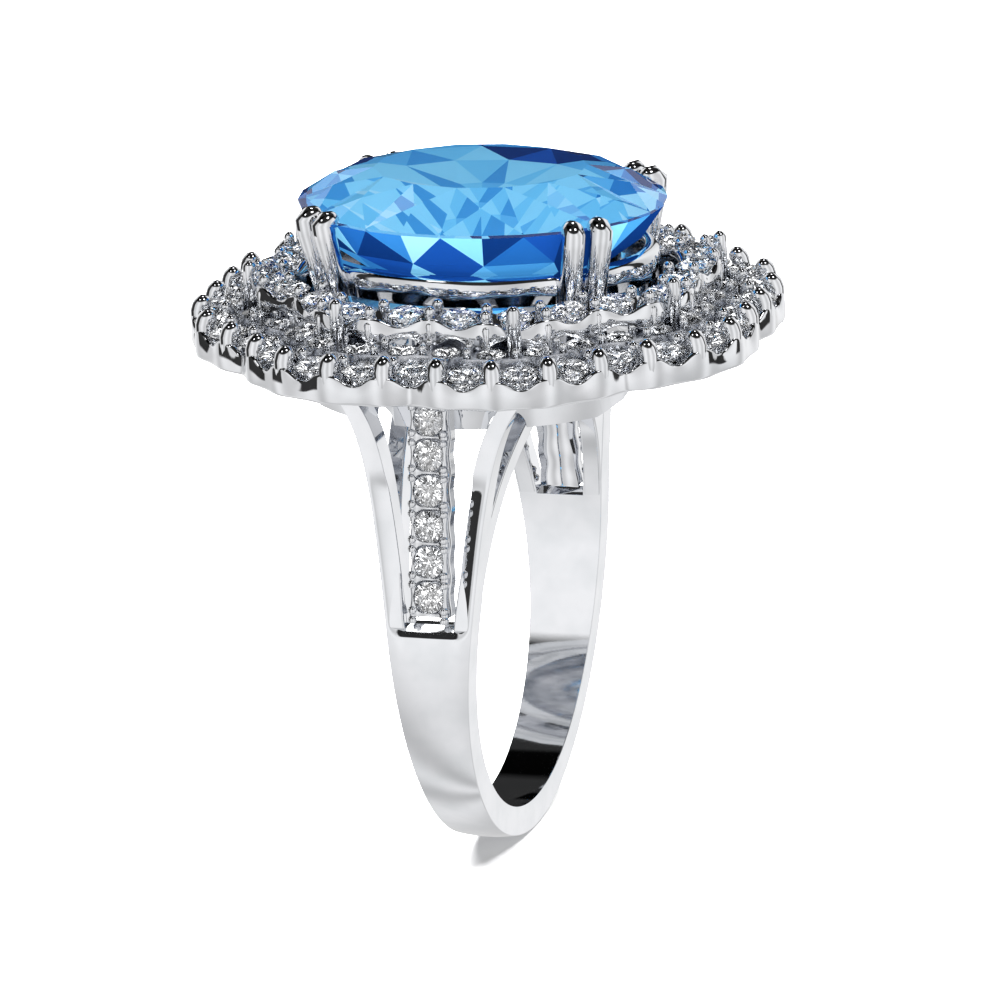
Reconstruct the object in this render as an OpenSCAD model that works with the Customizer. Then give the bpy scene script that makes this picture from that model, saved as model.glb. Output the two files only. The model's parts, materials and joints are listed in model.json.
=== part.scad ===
// Cocktail ring: a large oval blue stone in a claw basket, above a lobed halo of small
// round stones, on a band whose shoulders split into two arms with a stone-set bar between.
// Origin: centre of the finger hole. +X points through one shoulder, +Z to the big stone.

/* [Finger band] */
// Inside radius of the finger hole
bore_r = 9.1; // [8.6:0.1:9.4]
// Thickness of the band wall
band_t = 1.35; // [1.2:0.05:1.5]
// Half width of the band at the bottom
band_half_w = 1.15; // [1:0.05:1.4]
// How much the half width grows from the bottom up to the shoulder
shoulder_spread = 1.0; // [0.8:0.05:1.1]
// Extra half width where the arms flare out under the halo
arm_flare = 1.3; // [0.8:0.05:1.4]
// Width of each arm of the split shoulder
arm_w = 0.85; // [0.7:0.05:0.95]
// Radial thickness of each arm
arm_t = 1.3; // [1.1:0.05:1.4]
// Thickness of the inner arches that close the finger hole
arch_t = 1.25; // [1.1:0.05:1.3]
// Height where the band splits
split_z = 1.9; // [1.5:0.1:2.2]
// Inward lean of the shoulders, in degrees from upright
lean = 8.5; // [7:0.25:10]

/* [Shoulder bars] */
// Width of the stone-set bar between the arms
bar_w = 1.7; // [1.6:0.05:1.8]
// Thickness of the bar
bar_t = 1.15; // [1:0.05:1.2]
// How far the bar sits below the face of the arms
bar_recess = 0.12; // [0.05:0.01:0.2]
// Diameter of each bar stone
bar_stone_d = 1.36; // [1.2:0.02:1.4]
// Number of stones on each bar
bar_stones = 6; // [4:1:6]

/* [Halo] */
// Half length of the ring of rim stones along X
rim_x = 10.25; // [10.1:0.05:10.5]
// Half length of the ring of rim stones along Y
rim_y = 11.05; // [11:0.05:11.4]
// How far each of the eight lobes bulges out
lobe_out = 0.7; // [0.4:0.05:0.75]
// Width of the rim wall
rim_w = 1.9; // [1.8:0.05:1.9]
// Height of the rim wall
rim_h = 1.3; // [1.2:0.05:1.5]
// Diameter of each rim stone
rim_stone_d = 1.7; // [1.5:0.05:1.7]
// Radius of the rim prongs
prong_r = 0.38; // [0.3:0.01:0.4]
// How far the rim prongs stand above the wall
prong_h = 0.78; // [0.6:0.02:0.9]

/* [Inner rows] */
// Diameter of the stones in the low middle row
mid_stone_d = 1.25; // [1.1:0.05:1.3]
// Diameter of the stones in the raised inner tier
tier_stone_d = 1.6; // [1.4:0.05:1.6]
// Height of the raised tier above the middle row
tier_rise = 1.25; // [1.1:0.05:1.5]
// Radius of the eight tall posts
post_r = 0.3; // [0.25:0.01:0.34]

/* [Centre stone] */
// Length of the oval stone
stone_l = 16; // [15.6:0.1:16.2]
// Width of the oval stone
stone_w = 12; // [11.6:0.1:12.2]
// Depth of the stone below its girdle
pavilion_h = 5.2; // [4.8:0.1:5.3]
// Height of the stone above its girdle
crown_h = 1.42; // [1.2:0.02:1.6]
// Radius of each claw finger
claw_r = 0.48; // [0.4:0.01:0.5]

/* [Hidden] */
$fn = 48;
LOBES = 8;
RIM_STONES = 4 * LOBES;
TIER_STONES = 3 * LOBES;
SIDES = ["right", "left"];
CORNERS = ["front_right", "back_right", "back_left", "front_left"];
play = 0.02;                             // clearance left between pieces
outer_r = bore_r + band_t;               // outside of the band
plate_z = bore_r + 2.6;                  // underside of the halo
rim_top = plate_z + rim_h;
plate_t = 0.7;
mid_w = 1.32;                            // width of the middle row's rail
mid_off = (rim_w + mid_w) / 2 + play;    // from the rim stones in to the middle row
rim = [rim_x, rim_y];
mid = [rim_x - mid_off, rim_y - mid_off];
tier = [7.3, 8.65];                      // half sizes of the raised tier
mid_top = rim_top + 0.4;
tier_w = 1.75;
tier_top = mid_top + tier_rise;
ribbon_h = 0.6;
tier_prong_r = 0.24;
small_prong_r = 0.18;                    // prongs of the middle row
wall_w = 0.7;                            // wall that carries the inner tier
wall_in = 0.4;                           // how far that wall is set in
girdle_z = plate_z + 5.9;
upper_rail = [5.7, 7.6];                 // outside half sizes of the upper basket rail
lower_rail = [4.95, 6.75];               // and of the lower one
rail_w = 0.65;
upper_rail_h = 1.25;
lower_rail_h = 0.8;
rail_drop = 1.95;                        // from the girdle down to the top of the upper rail
saddle = [7.35, 8.0];                    // outside half sizes of the rail above the finger
saddle_h = 2.1;
saddle_w = 0.95;
hole_r = 0.75;                           // of the round openings in the gallery plate
well = [2.7, 4.5];                       // half sizes of the oval opening under the stone
flare_h = 1.6;                           // height over which the arms flare out
spread_top = 4.2;                        // height where the band reaches its shoulder width
spread_curve = 1.6;                      // how late that growth comes
bar_end = [1.1, 1.25];                   // from the ends of a bar to its first and last stone

// Metal and stone colours
metal = "gainsboro";
clear_stone = "aliceblue";
blue_stone = "dodgerblue";

// ---- outlines ----

// A point of the lobed oval with half sizes `half`, drawn out by `off`
function lobed(t, half, off = 0) = let (bulge = off + lobe_out * abs(sin(LOBES / 2 * t)))
    [(half[0] + bulge) * cos(t), (half[1] + bulge) * sin(t)];

// Direction that faces outward at angle t
function outward(t, half) = atan2(half[0] * sin(t), half[1] * cos(t));

module lobed_sheet(half, off = 0, steps = 16 * LOBES)
    polygon([for (i = [0 : steps - 1]) lobed(360 * i / steps, half, off)]);

// Lobed ring whose middle line has half sizes `half`
module lobed_ring(half, w, h)
    linear_extrude(h) difference() {
        lobed_sheet(half, w / 2);
        lobed_sheet(half, -w / 2);
    }

module oval_sheet(half, steps = 96)
    polygon([for (i = [0 : steps - 1]) [half[0] * cos(360 * i / steps), half[1] * sin(360 * i / steps)]]);

module oval_rail(half, w, h)
    linear_extrude(h) difference() {
        oval_sheet(half);
        oval_sheet([half[0] - w, half[1] - w]);
    }

// Stands its children at angle t of a lobed oval
module at_lobed(t, half, z, off = 0)
    translate([each lobed(t, half, off), z]) rotate([0, 0, outward(t, half)]) children();

// ---- repeated small pieces ----

// Round brilliant, girdle at z = 0
module brilliant(d) {
    crown = 0.16 * d;
    table_r = 0.29 * d;
    girdle = 0.02 * d;
    rotate_extrude($fn = 32)
        polygon([[0, crown], [table_r, crown], [d / 2, girdle], [d / 2, -girdle], [0, -0.43 * d]]);
}

// Hole that a brilliant sits in: a cone under the girdle and a way out below
module seat(d, depth) {
    cone_h = 0.43 * d;
    translate([0, 0, -cone_h]) cylinder(h = cone_h, r1 = 0, r2 = d / 2 + play);
    translate([0, 0, -depth]) cylinder(h = depth, r = 0.3 * d);
}

// Upright finger with a domed top
module finger(r, h)
    rotate_extrude($fn = 24)
        polygon(concat([[0, 0], [r, 0]],
            [for (a = [0 : 15 : 90]) [r * cos(a), h - r + r * sin(a)]]));

// Straight rod with domed ends between two points
module rod(a, b, r) {
    d = b - a;
    h = norm(d) + 2 * r;
    translate(a) rotate([0, acos(d[2] / norm(d)), atan2(d[1], d[0])]) translate([0, 0, -r])
        rotate_extrude($fn = 24)
            polygon(concat([for (i = [0 : 6]) [r * sin(15 * i), r - r * cos(15 * i)]],
                [for (i = [0 : 6]) [r * cos(15 * i), h - r + r * sin(15 * i)]]));
}

// ---- finger band ----

// Outside of the band at height z, above the point where the lean starts
function shoulder_x(z) = outer_r * cos(lean) - (z - outer_r * sin(lean)) * tan(lean);

// Half width of the band at height z
function half_width(z) = band_half_w
    + shoulder_spread * pow((z + outer_r) / (outer_r + spread_top), spread_curve)
    + arm_flare * exp((z - plate_z) / flare_h);

module side_view() {
    lean_z = outer_r * sin(lean);
    foot = [outer_r - band_t, lean_z - 1];
    intersection() {
        circle(outer_r, $fn = 128);
        translate([-outer_r, -outer_r]) square([2 * outer_r, outer_r + lean_z]);
    }
    polygon([foot, [shoulder_x(lean_z), lean_z], [shoulder_x(plate_z), plate_z],
        [-shoulder_x(plate_z), plate_z], [-shoulder_x(lean_z), lean_z], [-foot[0], foot[1]]]);
}

// Open space between the inner arch and the two arms
module side_gap()
    difference() {
        polygon([for (p = [[1, 0], [1, plate_z + 1], [-1, plate_z + 1], [-1, 0]])
            [p[0] * (shoulder_x(p[1]) - arm_t), p[1]]]);
        circle(bore_r + arch_t, $fn = 128);
    }

// Stands a drawing of the side view up, with a depth along Y
module along_y(w) rotate([90, 0, 0]) linear_extrude(w, center = true) children();

module split_shank()
    color(metal) difference() {
        intersection() {
            along_y(4 * outer_r) difference() {
                side_view();
                side_gap();
            }
            front_view(0, -outer_r);
        }
        rotate([90, 0, 0]) cylinder(h = 4 * outer_r, r = bore_r, center = true, $fn = 128);
        front_view(arm_w, split_z);
    }

// Outline seen along X, drawn in by `inset`, from height `z0` up
module front_view(inset, z0) {
    rows = 24;
    heights = [for (i = [0 : rows]) z0 + (plate_z - z0) * i / rows];
    rotate([90, 0, 90]) linear_extrude(4 * outer_r, center = true)
        polygon(concat([for (z = heights) [half_width(z) - inset, z]],
            [for (i = [rows : -1 : 0]) [inset - half_width(heights[i]), heights[i]]]));
}

// ---- shoulder bars ----

// Frame on the face of the bar at height z, with its +Z out of the metal
module on_bar(side, z)
    mirror([side, 0, 0]) translate([shoulder_x(z) - bar_recess, 0, z]) rotate([0, 90 - lean, 0]) children();

bar_pitch = (plate_z - split_z - bar_end[0] - bar_end[1]) / (bar_stones - 1);
bar_z = [for (i = [0 : bar_stones - 1]) split_z + bar_end[0] + bar_pitch * i];

module shoulder_bar(side) {
    color(metal) difference() {
        mirror([side, 0, 0]) along_y(bar_w)
            polygon([for (p = [[0, split_z + play], [0, plate_z - play], [bar_t, plate_z - play], [bar_t, split_z + play]])
                [shoulder_x(p[1]) - bar_recess - p[0], p[1]]]);
        rotate([90, 0, 0]) cylinder(h = 2 * bar_w, r = bore_r + play, center = true, $fn = 128);
        for (z = bar_z) on_bar(side, z) seat(bar_stone_d, 2 * bar_t);
    }
}

module shoulder_stones(side)
    color(clear_stone) for (z = bar_z) on_bar(side, z) brilliant(bar_stone_d);

// Grains raised from the bar at the four corners of each stone
module shoulder_grains(side) {
    grain_r = 0.2;
    color(metal) for (i = [0 : bar_stones], s = [-1, 1])
        on_bar(side, bar_z[0] + (i - 0.5) * bar_pitch) translate([0, s * (bar_w / 2 - grain_r), 0])
            finger(grain_r, 1.5 * grain_r);
}

// ---- halo ----

// Rail under the halo, arched over the finger, with scallops in its lower edge
module saddle_rail() {
    finger_room = 0.35;                  // kept open above the arches
    scallop_r = 0.8;
    color(metal) difference() {
        translate([0, 0, plate_z - saddle_h]) oval_rail(saddle, saddle_w, saddle_h);
        rotate([90, 0, 0])
            cylinder(h = 4 * saddle[1], r = bore_r + arch_t + finger_room, center = true, $fn = 128);
        for (i = [0 : LOBES - 1])
            rotate([0, 0, (i + 0.5) * 360 / LOBES]) translate([0, 0, plate_z - saddle_h]) rotate([0, 90, 0])
                translate([0, 0, saddle[0] / 2]) cylinder(h = saddle[1], r = scallop_r);
    }
}

// Pierced plate that ties the rim, the inner tier and the basket together
module gallery_plate()
    color(metal) translate([0, 0, plate_z]) difference() {
        linear_extrude(plate_t) difference() {
            lobed_sheet(rim, -rim_w / 2 - play);
            oval_sheet(well);
        }
        for (i = [0 : 2 * LOBES - 1]) at_lobed((i + 0.5) * 180 / LOBES, tier, -1) cylinder(h = 4 * plate_t, r = hole_r);
    }

module halo_rim() {
    notch_r = 0.26;
    flute = 0.12;
    steps = 8 * RIM_STONES;
    color(metal) translate([0, 0, plate_z]) difference() {
        linear_extrude(rim_h) difference() {
            polygon([for (i = [0 : steps - 1]) let (t = 360 * i / steps)
                lobed(t, rim, rim_w / 2 + flute * max(0, -cos(RIM_STONES * t)))]);
            lobed_sheet(rim, -rim_w / 2);
        }
        for (i = [0 : RIM_STONES - 1]) at_lobed(i * 360 / RIM_STONES, rim, rim_h) {
            seat(rim_stone_d, 2 * rim_h);
            rotate([0, 90, 0]) cylinder(h = rim_w, r = notch_r, $fn = 24);
        }
    }
}

// Prongs shared by neighbouring rim stones, four outside and four inside
module rim_prongs(lobe) {
    reach = 0.62;
    color(metal) for (k = [0 : 3]) {
        t = (4 * lobe + k + 0.5) * 360 / RIM_STONES;
        at_lobed(t, rim, rim_top, reach) finger(prong_r, prong_h);
        at_lobed(t, rim, rim_top, -reach) finger(0.8 * prong_r, 0.7 * prong_h);
    }
}

module rim_stones(lobe)
    color(clear_stone) for (k = [0 : 3])
        at_lobed((4 * lobe + k) * 360 / RIM_STONES, rim, rim_top + play) brilliant(rim_stone_d);

// ---- inner rows ----

module middle_rail()
    color(metal) difference() {
        translate([0, 0, plate_z + plate_t]) lobed_ring(mid, mid_w, mid_top - plate_z - plate_t);
        for (i = [0 : RIM_STONES - 1])
            at_lobed((i + 0.5) * 360 / RIM_STONES, mid, mid_top) seat(mid_stone_d, 1.2 * mid_stone_d);
    }

module middle_prongs() {
    reach = mid_w / 2 - small_prong_r;
    color(metal) for (i = [0 : RIM_STONES - 1], s = [-1, 1])
        at_lobed(i * 360 / RIM_STONES, mid, mid_top, s * reach) finger(small_prong_r, 2.4 * small_prong_r);
}

module middle_stones()
    color(clear_stone) for (i = [0 : RIM_STONES - 1])
        at_lobed((i + 0.5) * 360 / RIM_STONES, mid, mid_top + play) brilliant(mid_stone_d);

// Raised tier: a ribbon-edged ring on a thin wall
module tier_ring()
    color(metal) difference() {
        union() {
            translate([0, 0, tier_top - ribbon_h]) lobed_ring(tier, tier_w, ribbon_h);
            translate([0, 0, plate_z + plate_t])
                lobed_ring([for (r = tier) r - wall_in], wall_w, tier_top - plate_z - plate_t - ribbon_h);
        }
        for (i = [0 : TIER_STONES - 1])
            at_lobed((i + 0.5) * 360 / TIER_STONES, tier, tier_top) seat(tier_stone_d, 2 * ribbon_h);
    }

module tier_prongs(lobe) {
    reach = 0.55;
    color(metal) for (k = [0 : 2], s = [-1, 1])
        at_lobed((3 * lobe + k) * 360 / TIER_STONES, tier, tier_top, s * reach) finger(tier_prong_r, 2 * tier_prong_r);
}

module tier_stones(lobe)
    color(clear_stone) for (k = [0 : 2])
        at_lobed((3 * lobe + k + 0.5) * 360 / TIER_STONES, tier, tier_top + play) brilliant(tier_stone_d);

// Tall posts in the middle of each lobe, between the tier and the rim
module lobe_posts() {
    above_tier = 0.85;
    color(metal) for (i = [0 : LOBES - 1])
        at_lobed((i + 0.5) * 360 / LOBES, mid, mid_top) finger(post_r, tier_rise + above_tier);
}

// ---- basket and centre stone ----

module basket_lower_rail()
    color(metal) translate([0, 0, plate_z + plate_t]) oval_rail(lower_rail, rail_w, lower_rail_h);

module basket_upper_rail()
    color(metal) translate([0, 0, girdle_z - rail_drop - upper_rail_h])
        oval_rail(upper_rail, rail_w, upper_rail_h);

// Point on the stone's outline at angle t, drawn out by `f`
function oval_pt(t, f, z) = [f * stone_w / 2 * cos(t), f * stone_l / 2 * sin(t), z];

// Two claw fingers side by side that climb the basket and fold over the girdle
module claw_pair(corner) {
    spread = 4.6;
    foot_z = plate_z + plate_t + 0.5;
    // share of the stone's outline at the foot, the shoulder and the tip
    reach = [0.93, 1.085, 1.03];
    t0 = 90 * corner + 45;
    color(metal) for (s = [-1, 1]) {
        t = t0 + s * spread;
        rod(oval_pt(t, reach[0], foot_z), oval_pt(t, reach[1], girdle_z - 0.45), claw_r);
        rod(oval_pt(t, reach[1] - 0.005, girdle_z - 0.5), oval_pt(t, reach[2], girdle_z + 0.05), 0.95 * claw_r);
    }
}

module centre_stone() {
    girdle_h = 0.12;
    // share of the outline and height of each ring of corners, from table to culet
    rings = [[0.58, crown_h], [0.82, 0.62 * crown_h], [1, girdle_h / 2], [1, -girdle_h / 2],
        [0.93, -0.19 * pavilion_h], [0.82, -0.375 * pavilion_h], [0.6, -0.62 * pavilion_h],
        [0.32, -0.85 * pavilion_h], [0.04, -pavilion_h]];
    steps = 24;
    last = (len(rings) - 1) * steps;
    color(blue_stone) polyhedron(
        points = [for (r = rings, i = [0 : steps - 1]) oval_pt(360 * i / steps, r[0], girdle_z + r[1])],
        faces = concat(
            [[for (i = [steps - 1 : -1 : 0]) i]],
            [for (k = [0 : steps : last - 1], i = [0 : steps - 1]) let (j = (i + 1) % steps)
                [k + i, k + j, k + steps + j, k + steps + i]],
            [[for (i = [0 : steps - 1]) last + i]]));
}

// ---- assembly ----

split_shank();
for (i = [0 : 1]) {
    shoulder_bar(i);
    shoulder_stones(i);
    shoulder_grains(i);
}
saddle_rail();
gallery_plate();
halo_rim();
for (i = [0 : LOBES - 1]) {
    rim_prongs(i);
    rim_stones(i);
}
middle_rail();
middle_prongs();
middle_stones();
tier_ring();
for (i = [0 : LOBES - 1]) {
    tier_prongs(i);
    tier_stones(i);
}
lobe_posts();
basket_lower_rail();
basket_upper_rail();
for (i = [0 : 3])
    claw_pair(i);
centre_stone();
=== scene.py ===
import json
import math
import random

import bpy
from mathutils import Matrix, Vector


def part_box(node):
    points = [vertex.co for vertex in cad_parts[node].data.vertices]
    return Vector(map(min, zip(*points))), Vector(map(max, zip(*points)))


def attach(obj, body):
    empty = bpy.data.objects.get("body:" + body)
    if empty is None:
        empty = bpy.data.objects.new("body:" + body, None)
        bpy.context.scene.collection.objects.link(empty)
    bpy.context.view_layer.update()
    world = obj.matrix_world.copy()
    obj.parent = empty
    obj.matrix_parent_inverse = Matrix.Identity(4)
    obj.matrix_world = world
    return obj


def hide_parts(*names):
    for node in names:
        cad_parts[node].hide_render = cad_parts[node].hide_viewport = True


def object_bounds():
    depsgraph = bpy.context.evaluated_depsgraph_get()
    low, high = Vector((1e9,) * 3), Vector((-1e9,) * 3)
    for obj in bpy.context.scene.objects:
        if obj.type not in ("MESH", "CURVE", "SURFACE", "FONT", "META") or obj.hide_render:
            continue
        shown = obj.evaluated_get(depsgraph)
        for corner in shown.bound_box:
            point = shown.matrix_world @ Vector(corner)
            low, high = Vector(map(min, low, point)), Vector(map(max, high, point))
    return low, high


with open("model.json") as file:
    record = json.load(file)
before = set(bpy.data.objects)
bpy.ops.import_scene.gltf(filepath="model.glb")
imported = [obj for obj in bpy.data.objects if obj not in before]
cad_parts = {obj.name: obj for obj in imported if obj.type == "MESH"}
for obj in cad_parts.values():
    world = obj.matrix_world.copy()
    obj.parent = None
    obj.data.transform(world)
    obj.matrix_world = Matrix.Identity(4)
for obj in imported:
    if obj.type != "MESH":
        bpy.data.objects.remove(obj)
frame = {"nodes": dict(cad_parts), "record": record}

cadLow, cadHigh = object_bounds()
scene = bpy.context.scene
mm = 0.001
print("frame loaded:", len(frame["nodes"]), "nodes")


def hexToLinear(code):
    # sRGB hex code to linear colour
    channels = [int(code[i:i + 2], 16) / 255 for i in (1, 3, 5)]
    return [c / 12.92 if c <= 0.04045 else ((c + 0.055) / 1.055) ** 2.4 for c in channels] + [1.0]


def addNode(tree, kind, settings=None, links=None):
    node = tree.nodes.new(kind)
    for key, value in (settings or {}).items():
        if isinstance(key, int) or key in node.inputs:
            node.inputs[key].default_value = value
        else:
            setattr(node, key, value)
    for key, source in (links or {}).items():
        tree.links.new(source, node.inputs[key])
    return node


def startMaterial(name):
    material = bpy.data.materials.new(name)
    material.use_nodes = True
    material.node_tree.nodes.clear()
    return material, material.node_tree


def noiseTints(tree, scale, hexA, hexB):
    # Noise in object space, drifting between two close tints
    place = addNode(tree, "ShaderNodeTexCoord")
    noise = addNode(tree, "ShaderNodeTexNoise", {"Scale": scale, "Detail": 2.0},
                    {"Vector": place.outputs["Object"]})
    ramp = addNode(tree, "ShaderNodeValToRGB", links={"Fac": noise.outputs["Fac"]})
    ramp.color_ramp.elements[0].position = 0.35
    ramp.color_ramp.elements[0].color = hexToLinear(hexA)
    ramp.color_ramp.elements[1].position = 0.65
    ramp.color_ramp.elements[1].color = hexToLinear(hexB)
    return ramp


goldFinish = {
    "polished": {"light": "#e8e9ec", "dark": "#dfe1e4", "rough": (0.02, 0.08), "bump": 0.02},
    "cast": {"light": "#d6d8dd", "dark": "#b9bcc3", "rough": (0.16, 0.3), "bump": 0.12},
    "waveMm": 1.6,   # length of the slow waves that hand polishing leaves
    "grainMm": 0.12, # polishing marks, drawn coarser than the real ones so that they show
    "deepMm": 0.02,  # depth of those marks
}


def whiteGold(finish):
    # Rhodium-plated white gold. Polished: a cool, bright mirror with faint waves. Cast: the duller
    # skin left inside the gallery, where no polishing brush reaches.
    look = goldFinish[finish]
    material, tree = startMaterial("rhodiumWhiteGold" + finish.capitalize())
    tint = noiseTints(tree, 1 / (goldFinish["waveMm"] * mm), look["dark"], look["light"])
    grain = addNode(tree, "ShaderNodeTexNoise", {"Scale": 1 / (goldFinish["grainMm"] * mm), "Detail": 3.0},
                    {"Vector": addNode(tree, "ShaderNodeTexCoord").outputs["Object"]})
    rough = addNode(tree, "ShaderNodeMapRange", {"To Min": look["rough"][0], "To Max": look["rough"][1]},
                    {"Value": grain.outputs["Fac"]})
    bump = addNode(tree, "ShaderNodeBump", {"Strength": look["bump"], "Distance": goldFinish["deepMm"] * mm},
                   {"Height": grain.outputs["Fac"]})
    shader = addNode(tree, "ShaderNodeBsdfPrincipled", {"Metallic": 1.0},
                     {"Base Color": tint.outputs["Color"], "Roughness": rough.outputs["Result"],
                      "Normal": bump.outputs["Normal"]})
    addNode(tree, "ShaderNodeOutputMaterial", links={"Surface": shader.outputs["BSDF"]})
    return material


stoneFinish = {
    "diamond": {"tints": ("#ffffff", "#f1f4f8"), "ior": 2.42, "zoneMm": 1.2}, # zones of faint colour
    "topaz": {
        "tints": ("#f8fcff", "#eef8fd"), "ior": 1.62, "zoneMm": 5.0,
        # Painted light: these tones are painted facet reflections of the pavilion, which also glows with
        # them
        "paintedFacetTones": ("#0c3170", "#164a9f", "#2061ad", "#307bc4", "#4292d3", "#58a9e1", "#69bcea", "#80cbf0",
                  "#96d3f2"),
        "paintedGlow": 0.8,   # painted glow: the lower facets emit their own tone, standing in for the light they send back up
        "skin": 0.42,  # how strongly they answer light from outside
    },
}


def clearStone(stone, name):
    # Cut and polished on every facet. Diamond: colourless, and it bends light so much that the facets
    # break up into white, grey and black. Topaz crown: a clear window into the blue facets below it.
    look = stoneFinish[stone]
    material, tree = startMaterial(name)
    tint = noiseTints(tree, 1 / (look["zoneMm"] * mm), *look["tints"])
    shader = addNode(tree, "ShaderNodeBsdfPrincipled",
                     {"Transmission Weight": 1.0, "IOR": look["ior"], "Roughness": 0.0},
                     {"Base Color": tint.outputs["Color"]})
    addNode(tree, "ShaderNodeOutputMaterial", links={"Surface": shader.outputs["BSDF"]})
    return material


def topazPavilionPaintedLight():
    # Swiss blue topaz, lower side: each facet is painted with its own tone, from pale sky to royal blue, as
    # a painted reflection of the light it throws back, and it glows with that tone as painted light
    look = stoneFinish["topaz"]
    material, tree = startMaterial("blueTopazPavilionPaintedLight")
    pick = addNode(tree, "ShaderNodeAttribute", {"attribute_name": "paintedFacetLight"})
    ramp = addNode(tree, "ShaderNodeValToRGB", links={"Fac": pick.outputs["Fac"]})
    ramp.color_ramp.interpolation = "CONSTANT"
    stops = ramp.color_ramp.elements
    stops[0].color = hexToLinear(look["paintedFacetTones"][0])
    stops[1].position = 1 / len(look["paintedFacetTones"])
    stops[1].color = hexToLinear(look["paintedFacetTones"][1])
    for i, tone in enumerate(look["paintedFacetTones"][2:]):
        stops.new((i + 2) / len(look["paintedFacetTones"])).color = hexToLinear(tone)
    skin = addNode(tree, "ShaderNodeHueSaturation", {"Value": look["skin"]},
                   {"Color": ramp.outputs["Color"]})
    # Painted light: the facet tone is also emitted, so the pavilion glows though it is no lamp
    shader = addNode(tree, "ShaderNodeBsdfPrincipled",
                     {"Roughness": 0.1, "Specular IOR Level": 0.0, "Emission Strength": look["paintedGlow"]},
                     {"Base Color": skin.outputs["Color"], "Emission Color": ramp.outputs["Color"]})
    addNode(tree, "ShaderNodeOutputMaterial", links={"Surface": shader.outputs["BSDF"]})
    return material


polished = whiteGold("polished")
cast = whiteGold("cast")
whiteDiamond = clearStone("diamond", "whiteDiamond")
blueTopaz = clearStone("topaz", "blueTopazCrown")
blueTopazPaintedBelow = topazPavilionPaintedLight()
print("materials made")


def islandsOf(nodeName):
    # Splits a CAD node into its separate solids; returns the corners of each, in mm
    mesh = frame["nodes"][nodeName].data
    spots = {}
    ids = []
    for v in mesh.vertices:
        key = tuple(round(c, 7) for c in v.co)
        ids.append(spots.setdefault(key, len(spots)))
    parent = list(range(len(spots)))

    def root(i):
        while parent[i] != i:
            parent[i] = parent[parent[i]]
            i = parent[i]
        return i

    for e in mesh.edges:
        a, b = root(ids[e.vertices[0]]), root(ids[e.vertices[1]])
        parent[a] = b
    groups = {}
    for key, i in spots.items():
        groups.setdefault(root(i), []).append(Vector(key) / mm)
    found = list(groups.values())
    found.sort(key=lambda g: tuple(round(c, 2) for c in middle(g)))
    return found


def middle(points):
    low = Vector([min(p[i] for p in points) for i in range(3)])
    high = Vector([max(p[i] for p in points) for i in range(3)])
    return (low + high) / 2


def makePiece(name, verts, faces, material, slotName, stands, smooth=False):
    mesh = bpy.data.meshes.new(name)
    mesh.from_pydata([Vector(v) * mm for v in verts], [], faces)
    mesh.materials.append(material)
    mesh.polygons.foreach_set("use_smooth", [smooth] * len(mesh.polygons))
    mesh.update()
    piece = bpy.data.objects.new(name, mesh)
    scene.collection.objects.link(piece)
    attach(piece, "root")
    if stands:
        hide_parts(*stands)
    return piece


def joinParts(parts):
    # Joins (verts, faces) pairs into one
    verts, faces = [], []
    for v, f in parts:
        start = len(verts)
        verts += v
        faces += [[start + i for i in face] for face in f]
    return verts, faces


def brilliant(outline, folds, table, mid, heights, tiers):
    # Brilliant cut on any outline: table, stars, bezels, upper halves, girdle, lower halves, then rows
    # of mains down to the culet. Shares of the outline: table, mid (star points). Heights from the
    # girdle's middle: table, mid, half girdle, culet. Each tier is (share, height).
    verts = []
    step = 360 / folds

    def ring(share, z, count, turn=0.0):
        start = len(verts)
        for i in range(count):
            x, y = outline(360 * i / count + turn)
            verts.append((share * x, share * y, z))
        return [start + i for i in range(count)]

    top = ring(table, heights[0], folds)
    star = ring(mid, heights[1], folds, step / 2)
    upper = ring(1, heights[2], 2 * folds)
    lower = ring(1, -heights[2], 2 * folds)
    deep = ring(*tiers[0], folds, step / 2)
    faces = [top]
    for i in range(folds):
        j = (i + 1) % folds
        k = (2 * i + 2) % (2 * folds)
        faces += [
            [top[i], star[i], top[j]],
            [top[i], star[i - 1], upper[2 * i], star[i]],
            [star[i], upper[2 * i], upper[2 * i + 1]],
            [star[i], upper[2 * i + 1], upper[k]],
            [deep[i], lower[2 * i + 1], lower[2 * i]],
            [deep[i], lower[k], lower[2 * i + 1]],
            [deep[i - 1], deep[i], lower[2 * i]],
        ]
    for i in range(2 * folds):
        j = (i + 1) % (2 * folds)
        faces.append([upper[i], lower[i], lower[j], upper[j]])
    turned = True
    for row in tiers[1:]:
        turned = not turned
        below = ring(*row, folds, step / 2 if turned else 0)
        for i in range(folds):
            j = (i + 1) % folds
            if turned:
                faces += [[below[i], deep[j], deep[i]], [below[i], below[j], deep[j]]]
            else:
                faces += [[below[i], deep[i], deep[i - 1]], [below[i], below[j], deep[i]]]
        deep = below
    verts.append((0, 0, heights[3]))
    faces += [[len(verts) - 1, deep[(i + 1) % folds], deep[i]] for i in range(folds)]
    return verts, faces


def oval(halfX, halfY):
    return lambda t: (halfX * math.cos(math.radians(t)), halfY * math.sin(math.radians(t)))


def placed(part, matrix):
    verts, faces = part
    return [tuple(matrix @ Vector(v)) for v in verts], faces


# Small round stones: "table", "mid" and "low" are shares of the radius, and so are the heights
smallStones = {
    "folds": 8, "table": 0.56, "mid": 0.78, "low": 0.2,
    "crown": 0.3, "stars": 0.18, "girdle": 0.035, "lowDrop": 0.74, "pavilion": 0.86,
    "sunk": 0.318,      # from the top of the CAD stone down to the girdle
    "tilt": 3.0,        # degrees that a hand-set stone may lean
    "shoulderTilt": 8.5, # the shoulder bars lean in by this much
    "seed": 11,
}


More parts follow.
